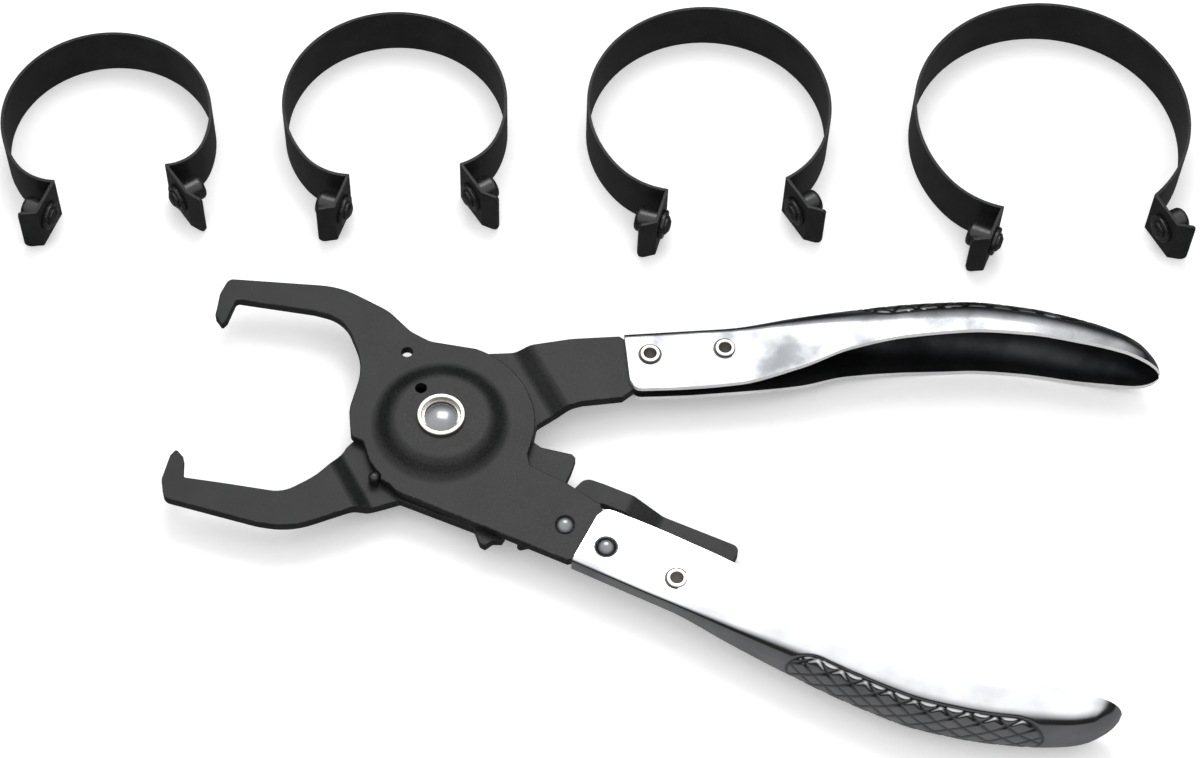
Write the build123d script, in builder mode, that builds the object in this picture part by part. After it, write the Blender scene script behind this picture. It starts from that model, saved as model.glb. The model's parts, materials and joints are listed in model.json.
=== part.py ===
from build123d import *
import os
from math import asin, atan2, cos, degrees, radians, sin

os.makedirs("parts", exist_ok=True)

# ---------------------------------------------------------------- driving dimensions, mm
PIVOT_X = -38.2
PIVOT_Y = -31.9
MID_Z = 11.5

PLATE_T = 3.0
PLATE_GAP = 0.15
RUNNING = 0.05
HEAD_R = 25.0
HUB_R = 23.5
BEND_ANGLE = 30.2
JAW_BEND_R = 28.1
TANG_BEND_R = 29.0
BEND_RUN = 4.2

BOSS_FOOT_R = 17.3
BOSS_TOP_R = 13.5
BOSS_H = 3.5
BOSS_ROUND = 4.0
SPRING_WIRE = 1.2
SPRING_R = 9.3

PIVOT_SHANK_R = 4.0
PIVOT_HEAD_STEP = 0.5
BUSH_WALL = 1.9
BUSH_LIP = 0.6
BUSH_FLANGE_T = 1.2

TOOTH_TIP_R = 36.8
TOOTH_ROOT_R = 35.3
TOOTH_PITCH = 4.0
TOOTH_FIRST = -59.7
TOOTH_GAPS = 8
QUADRANT_START = -60.1
QUADRANT_END = -11.5
PAWL_X = 34.2
PAWL_Y = -29.3
PAWL_SHANK_R = 2.0
PAWL_SWING = 7.5
PAWL_DROP = 5.0

PEG_X = -16.7
PEG_Y = -17.2
PEG_R = 1.5
PEG_CLEARANCE = 0.3
PEG_DOME = 0.9

HANDLE_WALL = 1.5
CORNER_R = 3.0
TANG_DEPTH = 17.0
TANG_LENGTH = 35.0
RIVET_S = 6.2
EYELET_S = 26.6
RIVET_DEPTH = 7.7
RIVET_R = 2.0
EYELET_R = 2.2
FIXING_HEAD_R = 2.8
SEAT_R = 3.1

STRIP_W = 15.9
STRIP_T = 0.8
LUG_LENGTH = 11.2
LIP_LENGTH = 5.0
DRUM_R = 3.6
DRUM_LENGTH = 6.6
DRUM_ALONG = 6.2
STUD_R = 1.5
WASHER_R = 4.2
WASHER_T = 1.3

# pivot bush and its pressed-in rivet head
BUSH_R = PIVOT_SHANK_R + BUSH_WALL
BUSH_FLANGE_R = BUSH_R + BUSH_LIP
PIVOT_HEAD_R = PIVOT_SHANK_R + PIVOT_HEAD_STEP
BUSH_RECESS_R = PIVOT_HEAD_R + 0.6

# handle faces that the fixings close on, and the channel width over the tangs
SEAT_Z = PLATE_T / 2 + HANDLE_WALL
SEAT_W = 2 * SEAT_Z + 0.1

# lever tops: the rear plate runs one plate and one gap below the front plate
REAR_DROP = PLATE_T + PLATE_GAP
REAR_Z = -PLATE_T / 2 - REAR_DROP
PLATEAU_Z = PLATE_T / 2 + BOSS_H
CAVITY_Z = PLATEAU_Z - PLATE_T

# grips: start of the spine line, direction in degrees, side of the spine (+1 left, -1 right)
UPPER_GRIP = (47.7, 30.0, 8.0, 1)
LOWER_GRIP = (36.3, -40.6, -24.5, -1)

# grip stations: distance, spine line, open rim line, width, spine corner radius
GRIP_STATIONS = [
    (0.0, 0.0, -18.0, SEAT_W, 2.0),
    (20.0, -0.4, -18.8, SEAT_W, 2.0),
    (29.0, -0.6, -18.7, SEAT_W + 0.5, 2.2),
    (46.0, 0.4, -16.7, 12.2, 4.6),
    (60.0, 1.0, -13.4, 17.0, 7.0),
    (75.0, 1.3, -12.3, 21.0, 9.0),
    (92.0, 0.7, -12.7, 22.9, 10.0),
    (108.0, -2.4, -15.0, 22.9, 10.0),
    (122.0, -7.0, -18.8, 22.0, 9.4),
    (133.0, -12.4, -22.0, 19.0, 7.4),
    (138.0, -16.0, -23.9, 15.6, 5.8),
    (141.0, -19.4, -24.9, 11.2, 4.2),
    (142.9, -22.6, -25.3, 5.4, 1.8),
]

# bands: centre, outer radius, left and right corner, lug and lip directions in degrees
BANDS = [
    ("band_59", -100.5, 94.0, 29.6, (-11.9, -23.2), (18.7, -16.1), (-108, -171), (-53, -30)),
    ("band_64", -19.8, 103.5, 31.9, (-11.2, -26.4), (20.1, -21.0), (-106, -167), (-55, -22)),
    ("band_70", 69.4, 107.3, 34.8, (-11.3, -30.6), (22.2, -24.8), (-104, -162), (-57, -15)),
    ("band_79", 167.1, 109.4, 39.4, (-15.3, -33.7), (27.8, -27.3), (-111, -172), (-60, -8)),
]


# ---------------------------------------------------------------- frames of reference
def level(height):
    """Plane square to the pivot axis, measured from the middle of the front plate."""
    return Plane(origin=(PIVOT_X, PIVOT_Y, MID_Z + height))


def polar(radius, angle):
    """Point at a radius and angle about the pivot."""
    return (radius * cos(radians(angle)), radius * sin(radians(angle)))


def dome_mid(radius, base, height):
    """Middle point of a round cap's outline, from its rim to its crown on the axis."""
    ball = (radius * radius + height * height) / (2 * abs(height))
    turn = asin(radius / ball) / 2
    drop = ball * (1 - cos(turn))
    return (ball * sin(turn), base + height - (drop if height > 0 else -drop))


def grip_point(grip, along, outward):
    """Plan point at a distance along a grip and outward from its spine line."""
    x, y, angle, side = grip
    c = cos(radians(angle))
    s = sin(radians(angle))
    return (x + along * c - side * outward * s, y + along * s + side * outward * c)


def grip_plane(grip, along):
    """Section plane across a grip: first axis points out through the spine."""
    angle = grip[2]
    side = grip[3]
    x, y = grip_point(grip, along, 0)
    outward = (-side * sin(radians(angle)), side * cos(radians(angle)), 0)
    forward = (cos(radians(angle)), sin(radians(angle)), 0)
    origin = (PIVOT_X + x, PIVOT_Y + y, MID_Z)
    return Plane(origin=origin, x_dir=outward, z_dir=forward)


def released(radius, angle):
    """Pawl point given in the engaged position, turned back to the released position."""
    x, y = polar(radius, angle)
    c = cos(radians(PAWL_SWING))
    s = sin(radians(PAWL_SWING))
    dx = x - PAWL_X
    dy = y - PAWL_Y
    return (PAWL_X + dx * c - dy * s, PAWL_Y + dx * s + dy * c)


# ---------------------------------------------------------------- front lever
tang_in = 1.7 - HANDLE_WALL
with BuildPart() as front_lever:
    with BuildSketch(level(-PLATE_T / 2)):
        with BuildLine():
            corners = [
                ((23.4, -8.4), 1.5),
                ((24.2, -11.9), 1.0),
                ((33.6, -16.4), 4.0),
                ((43.2, -22.6), 1.0),
                (grip_point(LOWER_GRIP, 1.0, -TANG_DEPTH), 0.5),
                (grip_point(LOWER_GRIP, TANG_LENGTH, -TANG_DEPTH), 3.0),
                (grip_point(LOWER_GRIP, TANG_LENGTH, -HANDLE_WALL - 0.4 - tang_in), 3.0),
                (grip_point(LOWER_GRIP, 0.2, -HANDLE_WALL - tang_in), 0.4),
                (grip_point(LOWER_GRIP, -1.3, -0.4), 0.6),
                ((-10.3, -21.4), 1.2),
                ((-12.6, -19.2), 1.0),
            ]
            seat_r = PEG_R + PEG_CLEARANCE
            seat_end = (PEG_X + seat_r * cos(radians(-20)), PEG_Y + seat_r * sin(radians(-20)))
            seat_mid = (PEG_X + seat_r * cos(radians(25)), PEG_Y + seat_r * sin(radians(25)))
            seat_start = (PEG_X + seat_r * cos(radians(70)), PEG_Y + seat_r * sin(radians(70)))
            tang_line = FilletPolyline(
                [polar(HEAD_R, -3)] + [point for point, radius in corners] + [seat_end],
                radius=[radius for point, radius in corners],
            )
            ThreePointArc(seat_end, seat_mid, seat_start)
            jaw = [
                ((-18.3, -12.3), 2.0),
                ((-20.4, -6.6), 1.2),
                ((-23.8, -5.0), 1.5),
                ((-24.9, 3.0), 12.0),
                ((-22.0, 17.0), 20.0),
                ((-28.4, 31.6), 11.0),
                ((-37.0, 33.7), 20.0),
                ((-58.3, 36.3), 1.2),
                ((-60.2, 29.6), 1.2),
                ((-61.4, 28.0), 0.5),
                ((-63.5, 30.8), 0.8),
                ((-62.9, 38.0), 3.0),
                ((-61.0, 42.9), 2.0),
                ((-30.4, 41.9), 24.0),
                ((-16.6, 34.7), 12.0),
                ((-10.2, 28.4), 9.0),
                ((-4.8, 25.5), 8.0),
            ]
            FilletPolyline(
                [seat_start] + [point for point, radius in jaw] + [polar(HEAD_R, 72)],
                radius=[radius for point, radius in jaw],
            )
            CenterArc((0, 0), HEAD_R, -3, 75)
        make_face()
    extrude(amount=PLATE_T)
    jaw_rims = front_lever.edges().filter_by(Axis.Z, reverse=True)
    chamfer(jaw_rims, length=0.25)
    # pressed-up boss over the opening spring
    with Locations((PIVOT_X, PIVOT_Y, MID_Z + PLATE_T / 2)):
        Cone(BOSS_FOOT_R, BOSS_TOP_R, BOSS_H, align=(Align.CENTER, Align.CENTER, Align.MIN))
    boss_edges = front_lever.edges().filter_by(GeomType.CIRCLE)
    crown = boss_edges.filter_by(lambda e: abs(e.radius - BOSS_TOP_R) < 0.01)
    fillet(crown, radius=BOSS_ROUND)
    foot = front_lever.edges().filter_by(GeomType.CIRCLE)
    foot = foot.filter_by(lambda e: abs(e.radius - BOSS_FOOT_R) < 0.01)
    fillet(foot, radius=BOSS_ROUND)
    with Locations((PIVOT_X, PIVOT_Y, MID_Z - PLATE_T / 2)):
        Cone(
            BOSS_FOOT_R - 1.3,
            BOSS_TOP_R - 1.3,
            BOSS_H,
            align=(Align.CENTER, Align.CENTER, Align.MIN),
            mode=Mode.SUBTRACT,
        )
    with BuildSketch(level(CAVITY_Z - 1)):
        Circle(BUSH_R)
        with Locations((-5.9, 8.4)):
            Circle(1.6)
    extrude(amount=PLATE_T + 2, mode=Mode.SUBTRACT)
    # flange hole, pawl rivet hole and the two handle fixings
    with BuildSketch(level(-PLATE_T)):
        with Locations((-10.7, 21.7)):
            Circle(1.6)
        with Locations((PAWL_X, PAWL_Y)):
            Circle(PAWL_SHANK_R)
        with Locations(grip_point(LOWER_GRIP, RIVET_S, -RIVET_DEPTH)):
            Circle(RIVET_R)
        with Locations(grip_point(LOWER_GRIP, EYELET_S, -RIVET_DEPTH)):
            Circle(EYELET_R)
    extrude(amount=2 * PLATE_T, mode=Mode.SUBTRACT)
front_lever.part.label = "front_lever"
export_step(front_lever.part, "parts/front_lever.step")


# ---------------------------------------------------------------- rear lever
with BuildPart() as rear_lever:
    # flat blank pressed up at both ends, seen along the two bend lines
    along = (cos(radians(BEND_ANGLE)), sin(radians(BEND_ANGLE)), 0)
    across = (sin(radians(BEND_ANGLE)), -cos(radians(BEND_ANGLE)), 0)
    blank = Plane(origin=(PIVOT_X, PIVOT_Y, MID_Z), x_dir=along, z_dir=across)
    half = PLATE_T / 2
    inset = 1.0
    with BuildSketch(blank):
        with BuildLine():
            low = [
                (-105, -half),
                (-JAW_BEND_R - BEND_RUN, -half),
                (-JAW_BEND_R, REAR_Z),
                (TANG_BEND_R, REAR_Z),
                (TANG_BEND_R + BEND_RUN, -half),
                (105, -half),
            ]
            high = [
                (105, half),
                (TANG_BEND_R + BEND_RUN - inset, half),
                (TANG_BEND_R - inset, REAR_Z + PLATE_T),
                (-JAW_BEND_R + inset, REAR_Z + PLATE_T),
                (-JAW_BEND_R - BEND_RUN + inset, half),
                (-105, half),
            ]
            FilletPolyline(low + high, radius=[0, 4, 3, 3, 4, 0, 0, 4, 3, 3, 4, 0], close=True)
        make_face()
    extrude(amount=60, both=True)
    # plan of jaw, hub, quadrant and tang
    with BuildSketch(level(-8)):
        with BuildLine():
            jaw = [
                ((-24.8, -7.0), 3.0),
                ((-27.8, -13.0), 14.0),
                ((-32.0, -17.8), 22.0),
                ((-40.2, -23.2), 9.0),
                ((-56.0, -21.2), 20.0),
                ((-66.8, -20.0), 1.2),
                ((-67.2, -14.0), 0.8),
                ((-69.4, -11.6), 0.6),
                ((-70.8, -13.6), 0.8),
                ((-72.3, -21.0), 4.0),
                ((-71.2, -26.2), 2.5),
                ((-46.3, -32.3), 20.0),
                ((-37.4, -33.4), 22.0),
                ((-20.7, -26.2), 18.0),
                ((-14.6, -24.2), 3.0),
                ((-9.6, -22.3), 1.0),
                ((10.5, -29.8), 1.0),
                ((12.1, -33.9), 0.8),
                ((13.5, -34.7), 0.5),
                ((15.4, -33.0), 1.0),
                ((17.9, -32.9), 0.4),
            ]
            FilletPolyline(
                [polar(HUB_R, 192)]
                + [point for point, radius in jaw]
                + [polar(TOOTH_TIP_R, QUADRANT_START)],
                radius=[radius for point, radius in jaw],
            )
            CenterArc((0, 0), TOOTH_TIP_R, QUADRANT_START, QUADRANT_END - QUADRANT_START)
            tang = [
                ((35.1, -6.2), 0.5),
                ((26.8, -4.5), 1.2),
                ((24.6, -2.9), 1.0),
                ((25.3, 2.4), 1.5),
                ((30.0, 6.0), 4.0),
                ((37.0, 8.6), 8.0),
                (grip_point(UPPER_GRIP, -2.6, -19.4), 0.6),
                (grip_point(UPPER_GRIP, 1.0, -TANG_DEPTH), 0.5),
                (grip_point(UPPER_GRIP, TANG_LENGTH, -TANG_DEPTH), 3.0),
                (grip_point(UPPER_GRIP, TANG_LENGTH, -HANDLE_WALL - 0.4 - tang_in), 3.0),
                (grip_point(UPPER_GRIP, 0.2, -HANDLE_WALL - tang_in), 0.4),
                (grip_point(UPPER_GRIP, -1.3, -0.3), 0.6),
                ((33.6, 28.1), 20.0),
                ((19.4, 24.9), 10.0),
                ((9.0, 23.9), 0.5),
            ]
            FilletPolyline(
                [polar(TOOTH_TIP_R, QUADRANT_END)] + [point for point, radius in tang] + [polar(HUB_R, 71)],
                radius=[radius for point, radius in tang],
            )
            CenterArc((0, 0), HUB_R, 71, 121)
        make_face()
        # ratchet gaps: steep face toward the finger, long face away from it
        with PolarLocations(0, TOOTH_GAPS, start_angle=TOOTH_FIRST, angular_range=32):
            Polygon(
                polar(TOOTH_ROOT_R, 0),
                polar(TOOTH_TIP_R + 1, 0),
                polar(TOOTH_TIP_R + 1, TOOTH_PITCH),
                polar(TOOTH_TIP_R, TOOTH_PITCH - 0.6),
                align=None,
                mode=Mode.SUBTRACT,
            )
    extrude(amount=16, mode=Mode.INTERSECT)
    with BuildSketch(level(REAR_Z - 1)):
        Circle(BUSH_R + RUNNING)
        with Locations((PEG_X, PEG_Y)):
            Circle(PEG_R)
        with Locations(grip_point(UPPER_GRIP, RIVET_S, -RIVET_DEPTH)):
            Circle(EYELET_R)
        with Locations(grip_point(UPPER_GRIP, EYELET_S, -RIVET_DEPTH)):
            Circle(EYELET_R)
    extrude(amount=REAR_DROP + PLATE_T + 2, mode=Mode.SUBTRACT)
rear_lever.part.label = "rear_lever"
export_step(rear_lever.part, "parts/rear_lever.step")


# ---------------------------------------------------------------- pivot
with BuildPart() as pivot_collar:
    with BuildSketch(Plane(origin=(PIVOT_X, PIVOT_Y, MID_Z), x_dir=(1, 0, 0), z_dir=(0, -1, 0))):
        with BuildLine():
            FilletPolyline(
                [
                    (PIVOT_SHANK_R, REAR_Z - 0.1),
                    (BUSH_R, REAR_Z - 0.1),
                    (BUSH_R, PLATEAU_Z),
                    (BUSH_FLANGE_R, PLATEAU_Z),
                    (BUSH_FLANGE_R, PLATEAU_Z + BUSH_FLANGE_T),
                    (BUSH_RECESS_R, PLATEAU_Z + BUSH_FLANGE_T),
                    (BUSH_RECESS_R, PLATEAU_Z - 0.6),
                    (PIVOT_SHANK_R, PLATEAU_Z - 0.6),
                ],
                radius=[0, 0, 0, 0, 0.5, 0.4, 0, 0],
                close=True,
            )
        make_face()
    revolve(axis=Axis((PIVOT_X, PIVOT_Y, 0), (0, 0, 1)))
pivot_collar.part.label = "pivot_collar"
export_step(pivot_collar.part, "parts/pivot_collar.step")

with BuildPart() as pivot_rivet:
    with BuildSketch(Plane(origin=(PIVOT_X, PIVOT_Y, MID_Z), x_dir=(1, 0, 0), z_dir=(0, -1, 0))):
        with BuildLine():
            Polyline(
                (0, PLATEAU_Z + 1.1),
                (0, REAR_Z - 2.6),
            )
            tail = REAR_Z - 1.3
            tail_r = PIVOT_SHANK_R + 1
            ThreePointArc((0, REAR_Z - 2.6), dome_mid(tail_r, tail, -1.3), (tail_r, tail))
            Polyline(
                (tail_r, tail),
                (PIVOT_SHANK_R, REAR_Z - 1.3),
                (PIVOT_SHANK_R, PLATEAU_Z - 0.6),
                (PIVOT_HEAD_R, PLATEAU_Z - 0.6),
                (PIVOT_HEAD_R, PLATEAU_Z),
            )
            ThreePointArc(
                (PIVOT_HEAD_R, PLATEAU_Z),
                dome_mid(PIVOT_HEAD_R, PLATEAU_Z, 1.1),
                (0, PLATEAU_Z + 1.1),
            )
        make_face()
    revolve(axis=Axis((PIVOT_X, PIVOT_Y, 0), (0, 0, 1)))
pivot_rivet.part.label = "pivot_rivet"
export_step(pivot_rivet.part, "parts/pivot_rivet.step")

with BuildPart() as pivot_rear_washer:
    with BuildSketch(level(REAR_Z - 1.3)):
        Circle(PIVOT_SHANK_R + 3.2)
        Circle(PIVOT_SHANK_R, mode=Mode.SUBTRACT)
    extrude(amount=1.2)
    chamfer(pivot_rear_washer.edges().group_by(Axis.Z)[0].sort_by(SortBy.RADIUS)[-1], length=0.3)
pivot_rear_washer.part.label = "pivot_rear_washer"
export_step(pivot_rear_washer.part, "parts/pivot_rear_washer.step")

with BuildPart() as opening_spring:
    coil_z = MID_Z - PLATE_T / 2 + SPRING_WIRE / 2 + 0.1
    spring_top = Plane(origin=(PIVOT_X, PIVOT_Y, coil_z))
    with BuildLine(spring_top) as coil:
        Helix(pitch=1.3, height=1.95, radius=SPRING_R)
    with BuildSketch(Plane(origin=coil.line @ 0, z_dir=coil.line % 0)):
        Circle(SPRING_WIRE / 2)
    sweep(path=coil.line)
opening_spring.part.label = "opening_spring"
export_step(opening_spring.part, "parts/opening_spring.step")

with BuildPart() as stop_peg:
    with BuildSketch(Plane(
        origin=(PIVOT_X + PEG_X, PIVOT_Y + PEG_Y, MID_Z), x_dir=(1, 0, 0), z_dir=(0, -1, 0)
    )):
        with BuildLine():
            peg_top = PLATE_T / 2 - 0.2
            crown = peg_top + PEG_DOME
            Polyline((0, crown), (0, REAR_Z), (PEG_R, REAR_Z), (PEG_R, peg_top))
            ThreePointArc((PEG_R, peg_top), dome_mid(PEG_R, peg_top, PEG_DOME), (0, crown))
        make_face()
    revolve(axis=Axis((PIVOT_X + PEG_X, PIVOT_Y + PEG_Y, 0), (0, 0, 1)))
stop_peg.part.label = "stop_peg"
export_step(stop_peg.part, "parts/stop_peg.step")


# ---------------------------------------------------------------- ratchet lever and its rivet
with BuildPart() as ratchet_lever:
    # pressed blank: body level with the rear lever, thumb pad stepped down
    slope = -21.5
    strip_dir = (cos(radians(slope)), sin(radians(slope)), 0)
    strip_side = (sin(radians(slope)), -cos(radians(slope)), 0)
    blank = Plane(
        origin=(PIVOT_X + PAWL_X, PIVOT_Y + PAWL_Y, MID_Z), x_dir=strip_dir, z_dir=strip_side
    )
    top = REAR_Z + PLATE_T
    step_a = 12.5
    step_b = 21.0
    inset = 0.8
    with BuildSketch(blank):
        with BuildLine():
            FilletPolyline(
                [
                    (-20, REAR_Z),
                    (step_a - inset, REAR_Z),
                    (step_b - inset, REAR_Z - PAWL_DROP),
                    (60, REAR_Z - PAWL_DROP),
                    (60, top - PAWL_DROP),
                    (step_b, top - PAWL_DROP),
                    (step_a, top),
                    (-20, top),
                ],
                radius=[0, 3, 3, 0, 0, 3, 3, 0],
                close=True,
            )
        make_face()
    extrude(amount=40, both=True)
    with BuildSketch(level(-16)):
        with BuildLine():
            nose = [
                (released(36.15, -54.0), 0.15),
                (released(37.6, -54.1), 0.2),
                (released(38.8, -58.5), 1.0),
                ((25.0, -33.6), 1.0),
                ((35.7, -37.7), 1.5),
                ((38.4, -31.2), 4.0),
                ((40.7, -25.2), 4.0),
                ((41.0, -21.2), 2.0),
                ((43.6, -20.6), 2.0),
                ((61.0, -27.5), 6.0),
                ((66.5, -32.2), 5.0),
                ((77.4, -36.6), 2.5),
                ((80.6, -29.4), 2.0),
                ((43.8, -14.8), 5.0),
                ((38.9, -13.2), 3.0),
                ((35.6, -17.4), 3.0),
                ((32.0, -21.6), 4.0),
                (released(38.2, -45.0), 3.0),
                (released(37.4, -51.9), 0.2),
            ]
            FilletPolyline(
                [point for point, radius in nose],
                radius=[radius for point, radius in nose],
                close=True,
            )
        make_face()
    extrude(amount=20, mode=Mode.INTERSECT)
    with BuildSketch(level(REAR_Z - 1)):
        with Locations((PAWL_X, PAWL_Y)):
            Circle(PAWL_SHANK_R + RUNNING)
    extrude(amount=8, mode=Mode.SUBTRACT)
ratchet_lever.part.label = "ratchet_lever"
export_step(ratchet_lever.part, "parts/ratchet_lever.step")

with BuildPart() as pawl_rivet:
    pawl_axis = Axis((PIVOT_X + PAWL_X, PIVOT_Y + PAWL_Y, 0), (0, 0, 1))
    with BuildSketch(Plane(
        origin=(PIVOT_X + PAWL_X, PIVOT_Y + PAWL_Y, MID_Z), x_dir=(1, 0, 0), z_dir=(0, -1, 0)
    )):
        with BuildLine():
            head = PLATE_T / 2 + 0.5
            Polyline(
                (0, head + 1.2),
                (0, REAR_Z - 2.6),
                (3.3, REAR_Z - 2.6),
                (3.3, REAR_Z - 1.6),
                (PAWL_SHANK_R, REAR_Z - 1.6),
                (PAWL_SHANK_R, PLATE_T / 2),
                (2.6, PLATE_T / 2),
                (2.6, head),
            )
            ThreePointArc((2.6, head), dome_mid(2.6, head, 1.2), (0, head + 1.2))
        make_face()
    revolve(axis=pawl_axis)
pawl_rivet.part.label = "pawl_rivet"
export_step(pawl_rivet.part, "parts/pawl_rivet.step")

with BuildPart() as pawl_spring:
    spring_base = Plane(origin=(PIVOT_X + PAWL_X, PIVOT_Y + PAWL_Y, MID_Z + REAR_Z - 1.25))
    with BuildLine(spring_base) as coil:
        Helix(pitch=0.6, height=0.75, radius=2.7)
    with BuildSketch(Plane(origin=coil.line @ 0, z_dir=coil.line % 0)):
        Circle(0.25)
    sweep(path=coil.line)
pawl_spring.part.label = "pawl_spring"
export_step(pawl_spring.part, "parts/pawl_spring.step")


# ---------------------------------------------------------------- handles
def grip_sections(grip, wall):
    """Channel sections shrunk by a wall; with a wall they run out through the open rim."""
    sections = []
    for along, spine, rim, width, corner in GRIP_STATIONS:
        half_width = width / 2 - wall
        if wall and along > 139:
            continue
        start = -1.0 if wall and along == 0 else along
        open_side = rim - 3 * (wall > 0)
        edge_r = max(corner - wall, 0.5)
        with BuildSketch(grip_plane(grip, start)) as section:
            with BuildLine():
                FilletPolyline(
                    [
                        (open_side, -half_width),
                        (spine - wall, -half_width),
                        (spine - wall, half_width),
                        (open_side, half_width),
                    ],
                    radius=[0, edge_r, edge_r, 0],
                    close=True,
                )
            make_face()
        sections.append(section.sketch)
    return sections


def channel_handle(grip, first_r):
    """Pressed channel handle with the tang slot, fixing holes and flat rivet seats."""
    with BuildPart() as handle:
        loft(grip_sections(grip, 0))
        loft(grip_sections(grip, HANDLE_WALL), mode=Mode.SUBTRACT)
        with BuildSketch(level(-PLATE_T / 2)):
            with BuildLine():
                Polyline(
                    grip_point(grip, -2, -HANDLE_WALL - 0.1),
                    grip_point(grip, TANG_LENGTH + 0.5, -HANDLE_WALL - 0.4),
                    grip_point(grip, TANG_LENGTH + 0.5, -22),
                    grip_point(grip, -2, -22),
                    close=True,
                )
            make_face()
        extrude(amount=PLATE_T, mode=Mode.SUBTRACT)
        with BuildSketch(level(-8)):
            with Locations(grip_point(grip, RIVET_S, -RIVET_DEPTH)):
                Circle(first_r)
            with Locations(grip_point(grip, EYELET_S, -RIVET_DEPTH)):
                Circle(EYELET_R)
        extrude(amount=16, mode=Mode.SUBTRACT)
        # rounded front corner of the open rim
        with BuildSketch(level(-8)):
            with BuildLine():
                on_rim = grip_point(grip, CORNER_R, -18.25)
                on_start = grip_point(grip, 0, -18.25 + CORNER_R)
                middle = grip_point(
                    grip, CORNER_R * (1 - cos(radians(45))), -18.25 + CORNER_R * (1 - cos(radians(45)))
                )
                ThreePointArc(on_rim, middle, on_start)
                Polyline(
                    on_start,
                    grip_point(grip, -1, -18.25 + CORNER_R),
                    grip_point(grip, -1, -19.5),
                    grip_point(grip, CORNER_R, -19.5),
                    on_rim,
                )
            make_face()
        extrude(amount=16, mode=Mode.SUBTRACT)
        for seat in (SEAT_Z, -SEAT_Z - 5):
            with BuildSketch(level(seat)):
                with Locations(
                    grip_point(grip, RIVET_S, -RIVET_DEPTH),
                    grip_point(grip, EYELET_S, -RIVET_DEPTH),
                ):
                    Circle(SEAT_R)
            extrude(amount=5, mode=Mode.SUBTRACT)
    return handle.part


upper_handle = channel_handle(UPPER_GRIP, EYELET_R)
upper_handle.label = "upper_handle"
export_step(upper_handle, "parts/upper_handle.step")

lower_handle = channel_handle(LOWER_GRIP, RIVET_R)
lower_handle.label = "lower_handle"
export_step(lower_handle, "parts/lower_handle.step")


# ---------------------------------------------------------------- handle fixings
def tube_eyelet(grip, along):
    """Tubular rivet rolled over on both sides of a handle."""
    x, y = grip_point(grip, along, -RIVET_DEPTH)
    with BuildPart() as eyelet:
        with BuildSketch(Plane(
            origin=(PIVOT_X + x, PIVOT_Y + y, MID_Z), x_dir=(1, 0, 0), z_dir=(0, -1, 0)
        )):
            with BuildLine():
                FilletPolyline(
                    [
                        (EYELET_R - 0.6, -SEAT_Z - 0.9),
                        (FIXING_HEAD_R, -SEAT_Z - 0.9),
                        (FIXING_HEAD_R, -SEAT_Z),
                        (EYELET_R, -SEAT_Z),
                        (EYELET_R, SEAT_Z),
                        (FIXING_HEAD_R, SEAT_Z),
                        (FIXING_HEAD_R, SEAT_Z + 0.9),
                        (EYELET_R - 0.6, SEAT_Z + 0.9),
                    ],
                    radius=[0.35, 0.4, 0, 0, 0, 0, 0.4, 0.35],
                    close=True,
                )
            make_face()
        revolve(axis=Axis((PIVOT_X + x, PIVOT_Y + y, 0), (0, 0, 1)))
    return eyelet.part


for node, grip, along in (
    ("upper_handle_front_eyelet", UPPER_GRIP, RIVET_S),
    ("upper_handle_rear_eyelet", UPPER_GRIP, EYELET_S),
    ("lower_handle_eyelet", LOWER_GRIP, EYELET_S),
):
    fixing = tube_eyelet(grip, along)
    fixing.label = node
    export_step(fixing, "parts/" + node + ".step")

with BuildPart() as lower_handle_rivet:
    rivet_x, rivet_y = grip_point(LOWER_GRIP, RIVET_S, -RIVET_DEPTH)
    with BuildSketch(Plane(
        origin=(PIVOT_X + rivet_x, PIVOT_Y + rivet_y, MID_Z), x_dir=(1, 0, 0), z_dir=(0, -1, 0)
    )):
        with BuildLine():
            Line((0, SEAT_Z + 1.8), (0, -SEAT_Z - 1.8))
            rim = SEAT_Z + 0.3
            head_r = FIXING_HEAD_R
            ThreePointArc((0, -SEAT_Z - 1.8), dome_mid(head_r, -rim, -1.5), (head_r, -rim))
            Polyline(
                (head_r, -rim), (head_r, -SEAT_Z), (RIVET_R, -SEAT_Z),
                (RIVET_R, SEAT_Z), (head_r, SEAT_Z), (head_r, rim),
            )
            ThreePointArc((head_r, rim), dome_mid(head_r, rim, 1.5), (0, SEAT_Z + 1.8))
        make_face()
    revolve(axis=Axis((PIVOT_X + rivet_x, PIVOT_Y + rivet_y, 0), (0, 0, 1)))
lower_handle_rivet.part.label = "lower_handle_rivet"
export_step(lower_handle_rivet.part, "parts/lower_handle_rivet.step")


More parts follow.
